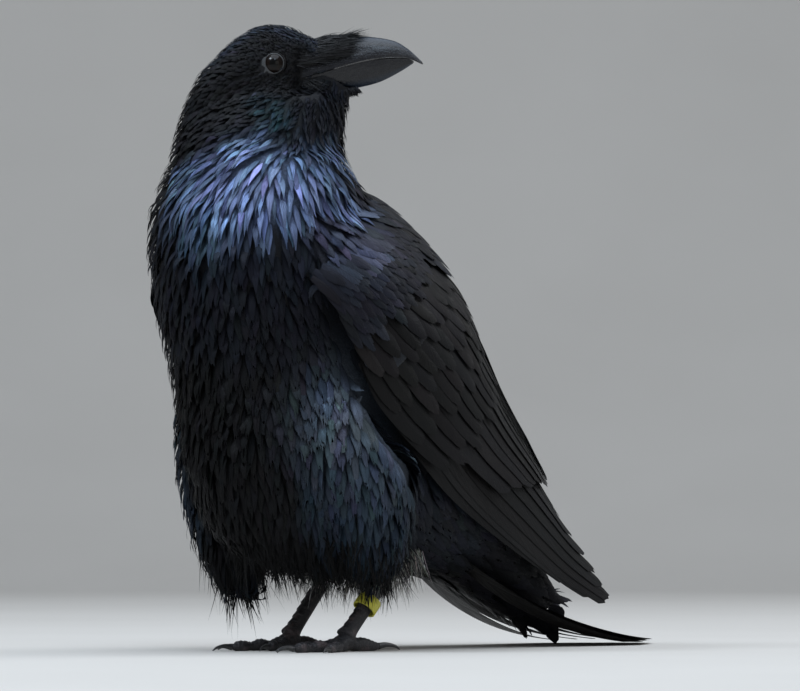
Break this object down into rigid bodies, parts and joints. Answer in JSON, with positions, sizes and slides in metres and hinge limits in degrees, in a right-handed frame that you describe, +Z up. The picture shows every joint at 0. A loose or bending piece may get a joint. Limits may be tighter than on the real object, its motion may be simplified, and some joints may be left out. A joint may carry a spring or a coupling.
{
  "type": "common raven",
  "caption": "Still life-size common raven standing upright, head turned back over its left shoulder, wings folded, tail on the ground, ring on its left leg.",
  "frame": {"origin": "centre of the whole bird's bounding box, on the ground that its toes and tail tip rest on", "axes": "+Z up, -Y the way the breast faces, +X towards the bird's own left side"},
  "size_m": [0.174, 0.395, 0.3774],
  "materials": {
    "plumage": "black contour feathers with a blue to violet gloss, strongest on the throat",
    "flight_feathers": "brown-black flight and tail feathers with a silky sheen and fine barbs",
    "bill": "slate-black horn, satin, scuffed along the cutting edges",
    "eye": "very dark brown iris under a wet clear cornea",
    "leg_skin": "black scaly skin with dusty grey edges to the scales",
    "claw": "black horn, worn paler at the tips",
    "ring": "plain yellow plastic ring, unmarked"
  },
  "bodies": {
    "root": {"head": "plumage", "neck": "plumage", "trunk": "plumage", "bill_upper": "bill", "bill_lower": "bill", "tail": "flight_feathers", "eye_left": "eye", "wing_left": "plumage", "secondaries_left": "flight_feathers", "primaries_left": "flight_feathers", "thigh_left": "plumage", "tarsus_left": "leg_skin", "toe_hind_left": "leg_skin", "claw_hind_left": "claw", "toe_inner_left": "leg_skin", "claw_inner_left": "claw", "toe_middle_left": "leg_skin", "claw_middle_left": "claw", "toe_outer_left": "leg_skin", "claw_outer_left": "claw", "eye_right": "eye", "wing_right": "plumage", "secondaries_right": "flight_feathers", "primaries_right": "flight_feathers", "thigh_right": "plumage", "tarsus_right": "leg_skin", "toe_hind_right": "leg_skin", "claw_hind_right": "claw", "toe_inner_right": "leg_skin", "claw_inner_right": "claw", "toe_middle_right": "leg_skin", "claw_middle_right": "claw", "toe_outer_right": "leg_skin", "claw_outer_right": "claw", "leg_ring": "ring"}
  },
  "joints": []
}
